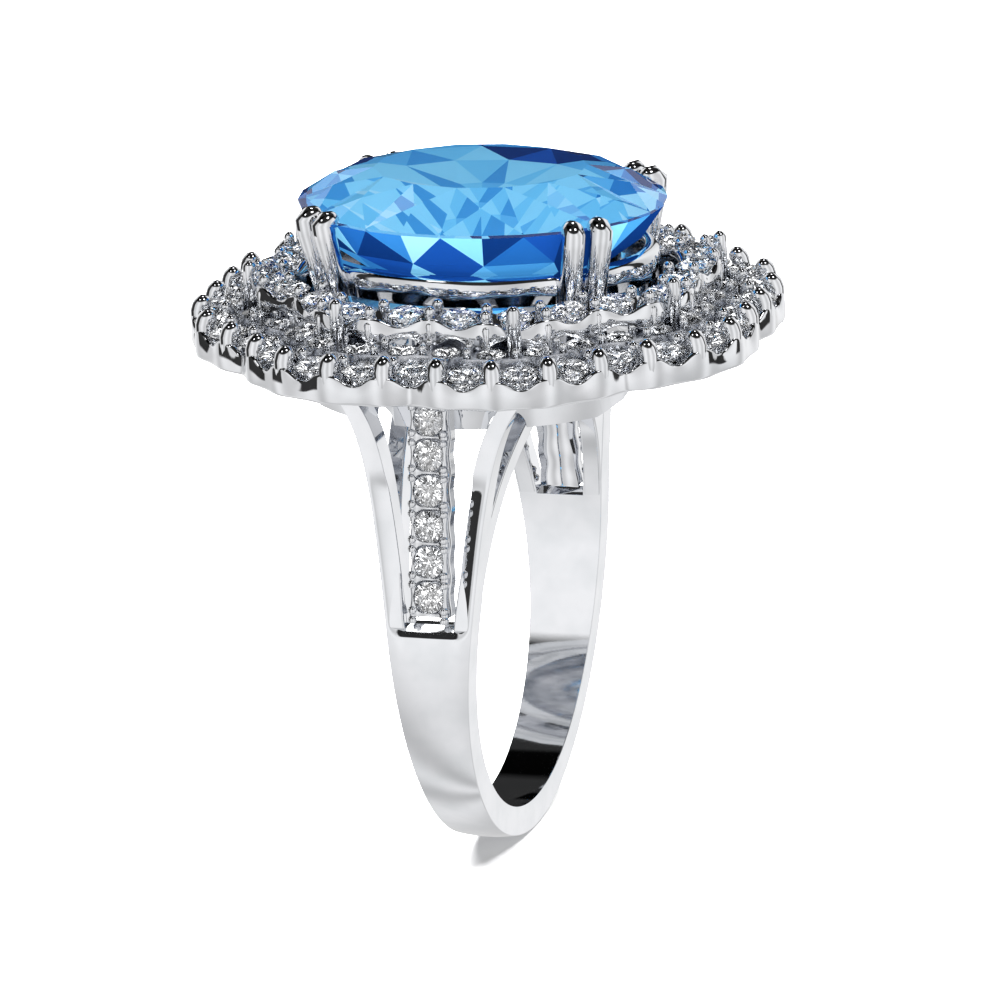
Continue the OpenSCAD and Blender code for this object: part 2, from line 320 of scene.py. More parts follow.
def smallStonePieces():
    look = smallStones
    pick = random.Random(look["seed"])
    nodes = sorted(n for n in frame["nodes"] if "stones" in n)
    for nodeName in nodes:
        shoulder = nodeName.startswith("shoulder")
        parts = []
        for island in islandsOf(nodeName):
            centre = middle(island)
            lean = Matrix.Identity(4)
            if shoulder:
                side = math.copysign(90 - look["shoulderTilt"], centre.x)
                lean = Matrix.Rotation(math.radians(side), 4, "Y")
            back = lean.inverted()
            local = [back @ p for p in island]
            spot = middle(local)
            radius = (max(p.x for p in local) - min(p.x for p in local)) / 2
            top = max(p.z for p in local)
            girdle = Vector((spot.x, spot.y, top - look["sunk"] * radius))
            tip = Matrix.Rotation(math.radians(pick.uniform(-1, 1) * look["tilt"]), 4, "X") \
                @ Matrix.Rotation(math.radians(pick.uniform(-1, 1) * look["tilt"]), 4, "Y") \
                @ Matrix.Rotation(math.radians(pick.uniform(0, 45)), 4, "Z")
            heights = [radius * look[k] for k in ("crown", "stars", "girdle")]
            shape = brilliant(oval(radius, radius), look["folds"], look["table"], look["mid"],
                              heights + [-look["pavilion"] * radius],
                              [(look["low"], -look["lowDrop"] * radius)])
            parts.append(placed(shape, lean @ Matrix.Translation(girdle) @ tip))
        verts, faces = joinParts(parts)
        makePiece("cut_" + nodeName, verts, faces, whiteDiamond, "clear_stone", [nodeName])
    print("small stones cut:", len(nodes), "rows")


smallStonePieces()


centreStone = {
    "folds": 14,
    "table": 0.58, "mid": 0.82,  # shares of the outline
    "crown": 1.42, "mids": 0.95, "girdle": 0.06, "culet": -5.2, # mm from the girdle
    "tiers": ((0.87, -1.5), (0.66, -2.7), (0.28, -4.5)), # share and mm, down the pavilion
    "band": 0.2,  # mm below the girdle where the pavilion's painted facet light and glow start
    "near": 0.75, "girdleShadeBias": 2.2, "deepLightBias": 0.75, # painted shade: facets by the girdle are drawn darker; painted light: deep ones are drawn paler
    "seed": 5,
}


def centreStonePiece():
    # Oval brilliant; every facet draws its own tone, which on the pavilion is painted facet light
    look = centreStone
    low, high = [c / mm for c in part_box("centre_stone")]
    half = (high - low) / 2
    girdle = high.z - look["crown"]
    verts, faces = brilliant(oval(half.x, half.y), look["folds"], look["table"], look["mid"],
                             [look["crown"], look["mids"], look["girdle"], look["culet"]], look["tiers"])
    verts = [(v[0], v[1], v[2] + girdle) for v in verts]
    piece = makePiece("cut_centre_stone", verts, faces, blueTopaz, "blue_stone", ["centre_stone"])
    piece.data.materials.append(blueTopazPaintedBelow)
    pick = random.Random(look["seed"])
    paintedFacetTones = piece.data.attributes.new("paintedFacetLight", "FLOAT", "FACE")
    # Painted facet light: a random tone per facet, pushed darker by the girdle as painted shade and paler
    # deep down
    for face in piece.data.polygons:
        outer = Vector((face.center.x / half.x, face.center.y / half.y)).length / mm > look["near"]
        paintedFacetTones.data[face.index].value = pick.random() ** (look["girdleShadeBias"] if outer else look["deepLightBias"])
        if face.center.z / mm < girdle - look["band"]:
            face.material_index = 1
    print("centre stone cut")


centreStonePiece()


halo = {
    "half": (10.25, 11.05), "bulge": 0.7, "lobes": 8, "stones": 32, # as in the CAD model
    "wall": 0.95,      # from the stones' line to the outer face
    "flute": 0.13,     # how far the wall swells at each prong
    "dip": 0.42,       # how far its top dips under each stone
    "lip": 0.3, "trench": 1.0, "edge": 0.14, "perStone": 16,
}


def lobed(t, half, off=0.0):
    # Point of the lobed oval at t degrees, off mm outside of its line
    a = math.radians(t)
    bulge = off + halo["bulge"] * abs(math.sin(halo["lobes"] / 2 * a))
    return Vector(((half[0] + bulge) * math.cos(a), (half[1] + bulge) * math.sin(a), 0))


def loop(sections):
    # Skins a closed ring of closed sections
    count = len(sections[0])
    verts = [p for section in sections for p in section]
    faces = []
    for i in range(len(sections)):
        j = (i + 1) % len(sections)
        for k in range(count):
            n = (k + 1) % count
            faces.append([i * count + k, i * count + n, j * count + n, j * count + k])
    return verts, faces


def rim():
    # Lobed wall with a seat for each stone, swelling where the outer prongs stand
    low, high = [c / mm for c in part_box("halo_rim")]
    steps = halo["stones"] * halo["perStone"]
    sections = []
    for i in range(steps):
        t = 360 * i / steps
        peak = (0.5 - 0.5 * math.cos(math.radians(halo["stones"] * t))) ** 1.3
        swell = halo["flute"] * peak
        dip = halo["dip"] * (1 - peak) ** 2
        outer = halo["wall"] - 0.06 + swell
        top = high.z - dip
        e = halo["edge"]
        profile = [(-halo["wall"] + e, low.z), (outer - 1.4 * e, low.z), (outer - 0.3 * e, low.z + 0.3 * e),
                   (outer, low.z + 1.2 * e), (outer, low.z + 0.5 * (top - low.z)), (outer - 0.02, top - e),
                   (outer - 0.35 * e, top - 0.3 * e), (outer - e, top), (outer - halo["lip"], top - 0.02),
                   (outer - halo["lip"] - 0.08, top - 0.2), (0.3, high.z - halo["trench"]),
                   (-0.3, high.z - halo["trench"]), (-halo["wall"] + halo["lip"], high.z - dip - 0.1),
                   (-halo["wall"] + e, high.z - dip), (-halo["wall"], high.z - dip - e),
                   (-halo["wall"], low.z + e)]
        sections.append([lobed(t, halo["half"], off) + Vector((0, 0, z)) for off, z in profile])
    makePiece("rim_wall", *loop(sections), polished, "white_gold", ["halo_rim"], smooth=True)


def finger(path, radii, sides=14, dome=4):
    # Round finger along a path of points, closed with a dome at its end
    verts, faces = [], []
    rings = []
    points = [Vector(p) for p in path]
    end = points[-1]
    along = (end - points[-2]).normalized()
    for k in range(1, dome + 1):
        a = math.radians(90 * k / dome)
        points.append(end + along * radii[-1] * math.sin(a))
    sizes = list(radii) + [radii[-1] * math.cos(math.radians(90 * k / dome)) for k in range(1, dome + 1)]
    for i, p in enumerate(points):
        a = points[max(i - 1, 0)]
        b = points[min(i + 1, len(points) - 1)]
        d = (b - a).normalized()
        side = d.cross(Vector((0.31, 0.17, 0.05))).normalized()
        other = d.cross(side)
        if i == len(points) - 1:
            rings.append([len(verts)] * sides)
            verts.append(p)
            continue
        start = len(verts)
        for k in range(sides):
            a = 2 * math.pi * k / sides
            verts.append(p + (side * math.cos(a) + other * math.sin(a)) * sizes[i])
        rings.append([start + k for k in range(sides)])
    faces.append(list(reversed(rings[0])))
    for r0, r1 in zip(rings, rings[1:]):
        for k in range(sides):
            n = (k + 1) % sides
            if r1[k] == r1[n]:
                faces.append([r0[k], r0[n], r1[k]])
            else:
                faces.append([r0[k], r0[n], r1[n], r1[k]])
    return verts, faces


rimProng = {
    "outer": 0.41, "inner": 0.27,   # mm radius
    "rise": 0.72, "innerRise": 0.5, # how far the domes stand above the wall
    "lean": 0.16,                   # how far the tips bend in over the stones
    "offset": 0.63,
}


def rimProngs():
    # Each outer prong has a mate on the inner side; the CAD prongs give their places
    low, high = [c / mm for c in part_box("halo_rim")]
    nodes = sorted(n for n in frame["nodes"] if n.startswith("rim_prongs"))
    for nodeName in nodes:
        spots = [middle(g) for g in islandsOf(nodeName)]
        parts = []
        for p in spots:
            mate = min((q for q in spots if q != p), key=lambda q: (q.xy - p.xy).length)
            out = (p.xy - mate.xy).normalized().to_3d()
            outer = p.xy.length > mate.xy.length
            if not outer:
                out = -out
            centre = (p.xy + mate.xy).to_3d() / 2
            if outer:
                r = rimProng["outer"]
                base = centre + out * rimProng["offset"]
                tip = high.z + rimProng["rise"]
                path = [base + Vector((0, 0, low.z + 0.12)), base + Vector((0, 0, high.z - 0.2)),
                        base - out * 0.02 + Vector((0, 0, high.z + 0.15)),
                        base - out * rimProng["lean"] * 0.6 + Vector((0, 0, tip - 0.9 * r)),
                        base - out * rimProng["lean"] + Vector((0, 0, tip - 0.72 * r))]
                parts.append(finger(path, [0.8 * r, 0.95 * r, r, r, 0.97 * r]))
            else:
                r = rimProng["inner"]
                base = centre - out * rimProng["offset"]
                path = [base + Vector((0, 0, high.z - 0.6)), base + Vector((0, 0, high.z)),
                        base + out * 0.1 + Vector((0, 0, high.z + rimProng["innerRise"] - r))]
                parts.append(finger(path, [0.9 * r, r, r]))
        makePiece("domed_" + nodeName, *joinParts(parts), polished, "white_gold", [nodeName], smooth=True)


tier = {
    "half": (7.3, 8.65), "stones": 24,  # as in the CAD model
    "perStone": 20, "wide": 0.86, "swell": 0.1,
    "dip": 0.34,                        # how far the top edge dips under each stone
    "ribbon": 0.86, "wave": 0.4,        # height of the ribbon, and how far its lower edge waves
    "strut": (0.2, 0.17, 0.2), "strutOut": 0.72, # radii and place of the fingers below it
}


def tierRing():
    # Raised ring with a polished ribbon edge that waves along its foot
    low, high = [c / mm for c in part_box("tier_ring")]
    steps = tier["stones"] * tier["perStone"]
    wide = tier["wide"]
    sections = []
    for i in range(steps):
        t = 360 * i / steps
        turn = tier["stones"] * t
        peak = (0.5 + 0.5 * math.cos(math.radians(turn))) ** 1.2
        dip = tier["dip"] * (1 - peak) ** 1.5
        wave = 0.5 + 0.5 * math.cos(math.radians(turn + 90 * math.sin(math.radians(3 * t))))
        top = high.z - dip
        bottom = high.z - tier["ribbon"] - tier["wave"] * wave
        outer = wide - tier["swell"] * (1 - peak)
        profile = [(-0.55, low.z), (-0.15, low.z), (-0.12, bottom - 0.15), (outer - 0.3, bottom - 0.05),
                   (outer - 0.12, bottom), (outer - 0.02, bottom + 0.12), (outer, (top + bottom) / 2),
                   (outer - 0.04, top - 0.1), (outer - 0.12, top - 0.01), (outer - 0.24, top - 0.04),
                   (0.3, high.z - 0.66), (-0.35, high.z - 0.66), (-wide + 0.24, high.z - dip),
                   (-wide + 0.1, high.z - dip), (-wide, high.z - dip - 0.12), (-wide, high.z - 0.6),
                   (-0.6, high.z - 0.8)]
        sections.append([lobed(t, tier["half"], off) + Vector((0, 0, z)) for off, z in profile])
    makePiece("tier_ribbon", *loop(sections), polished, "white_gold", ["tier_ring"], smooth=True)


claw = {
    "foot": 0.46, "waist": 0.47, "tip": 0.5, "fold": 0.3, # mm: radii, and how far the tip folds in
    "stone": (6, 8), # half sizes of the stone that the claws hold
    "end": 0.9,      # length of each end of a CAD claw that is measured for its place
}


def claws():
    # Long claws that lean out with the stone and fold over its edge
    for nodeName in sorted(n for n in frame["nodes"] if n.startswith("claw_pair")):
        parts = []
        for island in islandsOf(nodeName):
            bottom = min(p.z for p in island)
            top = max(p.z for p in island)
            foot = middle([p for p in island if p.z < bottom + claw["end"]])
            head = middle([p for p in island if p.z > top - claw["end"]])
            rise = head - foot
            halfX, halfY = claw["stone"]
            inward = -Vector((head.x / halfX ** 2, head.y / halfY ** 2, 0)).normalized()
            path = [foot, foot + rise * 0.3 - inward * 0.03, foot + rise * 0.6 - inward * 0.08,
                    foot + rise * 0.88 - inward * 0.12, head - inward * 0.06 - Vector((0, 0, 0.1)),
                    head + inward * claw["fold"] * 0.3,
                    head + inward * claw["fold"] + Vector((0, 0, top - head.z - claw["tip"] * 0.86))]
            parts.append(finger(path, [claw["foot"], claw["waist"], claw["waist"], claw["tip"], claw["tip"],
                                       claw["tip"] * 0.98, claw["tip"] * 0.9], sides=18, dome=5))
        makePiece("smooth_" + nodeName, *joinParts(parts), polished, "white_gold", [nodeName], smooth=True)


basket = {
    "wide": 0.65,
    "round": 0.4, "wave": 0.25, # rounding of the top edge, and the share by which it wavers
}


def basketRail():
    # Rail under the big stone, rounded along its top as by a polishing wheel
    low, high = [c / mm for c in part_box("basket_upper_rail")]
    half = (high - low) / 2
    sections = []
    for i in range(120):
        a = 2 * math.pi * i / 120
        soft = basket["round"] * (1 + basket["wave"] * math.sin(7 * a) * math.sin(3 * a + 1))
        profile = [(-basket["wide"], low.z), (-0.04, low.z), (0, low.z + 0.04), (0, high.z - soft)]
        for b in range(15, 91, 15):
            up, out = math.sin(math.radians(b)), math.cos(math.radians(b))
            profile.append((-soft + soft * out, high.z - soft + soft * up))
        profile += [(-basket["wide"] + 0.05, high.z), (-basket["wide"], high.z - 0.05)]
        sections.append([Vector(((half.x + off) * math.cos(a), (half.y + off) * math.sin(a), z))
                         for off, z in profile])
    makePiece("rounded_basket_rail", *loop(sections), polished, "white_gold", ["basket_upper_rail"],
              smooth=True)


def struts():
    # Thin fingers that carry the tier's ribbon on the middle row
    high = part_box("tier_ring")[1] / mm
    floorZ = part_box("middle_rail")[1].z / mm
    parts = []
    for i in range(tier["stones"]):
        foot = lobed(360 * i / tier["stones"], tier["half"], tier["strutOut"])
        path = [foot + Vector((0, 0, z)) for z in (floorZ - 0.5, floorZ + 0.3, high.z - 0.35)]
        parts.append(finger(path, tier["strut"], 10, 3))
    makePiece("tier_struts", *joinParts(parts), polished, "white_gold", ["tier_ring"], smooth=True)


rim()
struts()
rimProngs()
tierRing()
basketRail()
claws()
print("halo and claws shaped")


shank = {
    "lean": 8.5, "split": 1.9, "armWidth": 0.85, "armThick": 1.3, "archThick": 1.25, # as in the CAD model
    "lowHalfWidth": 1.15, "spread": 1.0, "flare": 1.3,
    "crown": 0.1,   # how much the outer face rounds off towards its sides
    "edge": 0.1,    # rounding of the edges
    "roll": 0.72, "rollDepth": 0.42, # how wide and deep the outer face rolls into the window
    "rollTop": (7.6, 8.4), "rollLeft": 0.2, # heights over which the roll fades, and what is left of it
    "foot": 0.25, "footHeight": 0.7, # how the arms thicken just above the split
    "archEnd": 9,   # degrees above level where the arches leave the band
    "near": 3.5, "coarseRows": 56, "fineRows": 8, "armRows": 44, # rows, finer in the degrees near the split
}

bore = [m for m in frame["record"]["mounts"] if m["kind"] == "bore"][0]["dims"]["r_mm"]
outerR = -cadLow.z / mm
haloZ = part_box("gallery_plate")[0].z / mm
lean = math.radians(shank["lean"])


def faceX(z):
    # Outside of the leaning shoulder
    return outerR * math.cos(lean) - (z - outerR * math.sin(lean)) * math.tan(lean)


def halfWidth(z):
    return shank["lowHalfWidth"] + shank["spread"] * ((z + outerR) / (outerR + 4.2)) ** 1.6 \
        + shank["flare"] * math.exp((z - haloZ) / 1.6)


def onFace(angle):
    a = math.radians(angle)
    r = outerR if a <= lean else outerR / math.cos(a - lean)
    return r * math.cos(a), r * math.sin(a)


def windowRoll(y, z, window):
    # How far the outer face rolls in towards the window between the arms
    wide = shank["roll"]
    dy, dz = y - window, shank["split"] - z
    away = math.hypot(max(dy, 0), max(dz, 0)) if max(dy, dz) > 0 else 0
    low, high = shank["rollTop"]
    fade = min(1, max(0, (z - low) / (high - low)))
    strength = 1 - (1 - shank["rollLeft"]) * fade * fade * (3 - 2 * fade)
    return strength * shank["rollDepth"] * max(0, 1 - away / wide) ** 1.15


def shankPiece():
    # Band that splits into two arms on each side, and the arches that close the finger hole
    look = shank
    top = haloZ
    start = math.degrees(math.atan2(look["split"], faceX(look["split"])))
    rows = []   # outer x, outer z, inner x, inner z
    near, coarse, fine = look["near"], look["coarseRows"], look["fineRows"]
    stops = [-90 + (start + 90 - near) * i / coarse for i in range(coarse + 1)]
    stops += [start - near * (1 - i / fine) for i in range(1, fine + 1)]
    for angle in stops:
        a = math.radians(angle)
        rows.append((*onFace(angle), bore * math.cos(a), bore * math.sin(a)))
    bandRows = len(rows)
    first = look["split"] + 0.03
    for i in range(look["armRows"] + 1):
        z = first + (top - first) * i / look["armRows"]
        inner = faceX(z) - look["armThick"] - look["foot"] * math.exp(-(z - first) / look["footHeight"])
        rows.append((faceX(z), z, max(inner, math.sqrt(max(bore ** 2 - z ** 2, 0)) + 0.02), z))
    rows = [(-x, z, -u, w) for x, z, u, w in reversed(rows[1:])] + rows
    inBand = [len(rows) // 2 - bandRows < i < len(rows) // 2 + bandRows for i in range(len(rows))]
    # Columns across the face: 0 is the middle, 1 the window's edge, 2 the side
    cols = [0, 0.25, 0.5, 0.75, 1, 1.12, 1.24, 1.36, 1.5, 1.64, 1.76, 1.84, 1.92, 2]
    verts, faces = [], []
    for side in (1, -1):
        grid = []
        for i, (x, z, u, w) in enumerate(rows):
            line = []
            for px, pz, face in ((x, z, True), (u, w, False)):
                half = halfWidth(pz)
                window = max(half - look["armWidth"], 0.3)
                for c in cols:
                    y = c * window if c <= 1 else window + (c - 1) * (half - window)
                    drop = 0
                    if face:
                        drop = look["crown"] * (y / half) ** 2 + windowRoll(y, pz, half - look["armWidth"])
                    n = Vector((px, 0, pz)).normalized()
                    line.append(len(verts))
                    verts.append(Vector((px, side * y, pz)) - n * drop)
            grid.append(line)
        count = len(cols)
        edge = cols.index(1)

        def quad(a, b, c, d):
            faces.append([a, b, c, d] if side > 0 else [d, c, b, a])

        for i in range(len(rows) - 1):
            g, h = grid[i], grid[i + 1]
            whole = inBand[i] and inBand[i + 1]
            for c in range(0 if whole else edge, count - 1):
                quad(g[c], g[c + 1], h[c + 1], h[c])
                quad(g[count + c + 1], g[count + c], h[count + c], h[count + c + 1])
            quad(g[count - 1], g[2 * count - 1], h[2 * count - 1], h[count - 1])
            if not whole:
                quad(g[count + edge], g[edge], h[edge], h[count + edge])
        for i, flip in ((len(rows) // 2 + bandRows - 1, False), (len(rows) // 2 - bandRows + 1, True)):
            g = grid[i]
            for c in range(edge):   # the lip at the foot of the window
                f = (g[c], g[c + 1], g[count + c + 1], g[count + c])
                quad(*(reversed(f) if flip else f))
        for i, flip in ((0, False), (len(rows) - 1, True)):
            g = grid[i]
            for c in range(edge, count - 1):
                f = (g[c], g[c + 1], g[count + c + 1], g[count + c])
                quad(*(reversed(f) if flip else f))
    arches = []
    span = 180 - 2 * look["archEnd"]
    for side in (1, -1):
        sections = []
        for i in range(91):
            a = math.radians(look["archEnd"] + span * i / 90)
            hide = 0.03 if i in (0, 90) else 0.0   # the ends are sunk into the band
            section = []
            for r, which in ((bore + hide, 0), (bore + hide, 1), (bore + look["archThick"], 1),
                             (bore + look["archThick"], 0)):
                z = r * math.sin(a)
                half = halfWidth(z) - 0.02
                y = half if which else half - look["armWidth"] + 0.04
                section.append(Vector((r * math.cos(a), side * y, z)))
            sections.append(section)
        v = [p for section in sections for p in section]
        f = []
        for i in range(90):
            for k in range(4):
                n = (k + 1) % 4
                q = [i * 4 + k, i * 4 + n, i * 4 + 4 + n, i * 4 + 4 + k]
                f.append(q if side < 0 else q[::-1])
        f.append([0, 3, 2, 1] if side < 0 else [0, 1, 2, 3])
        end = 90 * 4
        f.append([end, end + 1, end + 2, end + 3] if side < 0 else [end + 3, end + 2, end + 1, end])
        arches.append((v, f))
    band = makePiece("polished_shank", verts, faces, polished, "white_gold", ["split_shank"], smooth=True)
    weld = band.modifiers.new("weld", "WELD")
    weld.merge_threshold = 0.002 * mm
    arch = makePiece("finger_arches", *joinParts(arches), polished, "white_gold", ["split_shank"],
                     smooth=True)
    for piece in (band, arch):
        soft = piece.modifiers.new("softEdges", "BEVEL")
        soft.width = look["edge"] * mm
        soft.segments = 4
        soft.limit_method = "ANGLE"
        soft.angle_limit = math.radians(40)
        soft.harden_normals = True
    print("shank shaped")


shankPiece()


bar = {
    "half": 0.78, "swell": 0.07,   # half width, and how far it swells at each pair of beads
    "recess": 0.12, "thick": 1.15, # as in the CAD model
    "trough": 0.62, "wall": 0.2, "edge": 0.07,
    "bead": 0.17, "beadApart": 0.2,
}


def onBar(side, z, y, rise):
    # A point of the bar: height z along the shoulder, y across, rise out of its face
    x = faceX(z) - bar["recess"]
    return Vector((side * (x + rise * math.cos(lean)), y, z + rise * math.sin(lean)))


def shoulderBars():
    # Trough for the stones between the arms, with a bead at each corner of every stone
    for side, word in ((1, "right"), (-1, "left")):
        low, high = [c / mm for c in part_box("shoulder_bar_" + word)]
        stones = sorted(middle(g).z for g in islandsOf("shoulder_stones_" + word))
        pitch = stones[1] - stones[0]
        count = 150
        sections = []
        for i in range(count + 1):
            z = low.z + 0.25 + (high.z - low.z - 0.25) * i / count
            near = 0.5 - 0.5 * math.cos(2 * math.pi * (z - stones[0]) / pitch)
            w = bar["half"] + bar["swell"] * near
            if z < stones[0] - 0.5 * pitch:
                w = bar["half"] + bar["swell"]
            deep = bar["trough"] * (1 - 0.75 * near ** 2)
            flat = w - bar["wall"]
            e = bar["edge"]
            rightHalf = [(0.3, -deep), (flat * 0.8, -0.3 * deep), (flat, 0), (w - e, 0), (w, -e),
                         (w, -bar["thick"])]
            profile = [(-y, rise) for y, rise in reversed(rightHalf)] + rightHalf
            sections.append([onBar(side, z, y, rise) for y, rise in profile])
        size = len(sections[0])
        verts, faces = loop(sections)
        faces = [f for f in faces if max(f) - min(f) < 2 * size]
        faces += [list(range(size)), [count * size + k for k in reversed(range(size))]]
        if side < 0:
            faces = [f[::-1] for f in faces]
        makePiece("bead_set_bar_" + word, verts, faces, polished, "white_gold", ["shoulder_bar_" + word],
                  smooth=True)
        parts = []
        for k in range(len(stones) + 1):
            for shift in (-bar["beadApart"], bar["beadApart"]):
                for hand in (-1, 1):
                    z = stones[0] + (k - 0.5) * pitch + shift
                    r = bar["bead"]
                    across = hand * (bar["half"] + bar["swell"] - 0.75 * r)
                    parts.append(finger([onBar(side, z, across, -0.1), onBar(side, z, across, 0.03),
                                         onBar(side, z, across - hand * 0.04, 0.06)], [r, r, r], 10, 4))
        makePiece("beads_" + word, *joinParts(parts), polished, "white_gold", ["shoulder_grains_" + word],
                  smooth=True)
    print("shoulder bars set")


shoulderBars()


# Metal kept from the CAD model
nodeFinish = {
    "cast": ("gallery_plate", "middle_rail", "basket_lower_rail"), # no brush reaches these
    "edged": ("rail", "ring", "bar"), "edge": 0.04,                # words in the names; mm of rounding
}


def finishNode(nodeName, material, edge):
    # Gives a CAD node its metal, soft edges and smooth curved faces
    node = frame["nodes"][nodeName]
    node.data.materials.clear()
    node.data.materials.append(material)
    node.data.polygons.foreach_set("use_smooth", [True] * len(node.data.polygons))
    weld = node.modifiers.new("weld", "WELD")
    weld.merge_threshold = 0.002 * mm
    if edge:
        soft = node.modifiers.new("softEdges", "BEVEL")
        soft.width = edge * mm
        soft.segments = 3
        soft.limit_method = "ANGLE"
        soft.angle_limit = math.radians(30)
        soft.use_clamp_overlap = True


for nodeName in sorted(frame["nodes"]):
    if frame["nodes"][nodeName].hide_render:
        continue   # a piece above has taken its place
    material = cast if nodeName in nodeFinish["cast"] else polished
    edged = any(word in nodeName for word in nodeFinish["edged"])
    finishNode(nodeName, material, nodeFinish["edge"] if edged else 0.0)
print("metal finished")


studio = {
    "low": 0.86, "side": 1.02, "cap": 0.03,  # brightness below, around and overhead
    "folds": 6, "foldTurn": 18, "foldLow": 0.72, "foldHigh": 1.05, # soft folds of the tent's cloth
    "panels": ((-82, 21), (120, 8), (-161, 17)),  # dark gaps: azimuth, half width in degrees
    "panelLevel": 0.04, "panelEdge": 2, "panelFoot": (-0.275, -0.24), # level, soft edge, where they start
    # Small lamps high up: azimuth, elevation, radius, brightness
    "spots": ((70, 66, 7, 6.0), (-40, 60, 5, 5.0), (190, 62, 6, 5.0)),
    "sparkle": 7.0,     # how finely the stones' surroundings are broken up
    "flashes": ((0.38, 0.5), (0.6, 1.1), (0.76, 2.2), (0.9, 5.0)), # where each starts, and its brightness
    "stoneLow": 0.5, "stoneHigh": 1.35, # their brightness around the ring and above it
}


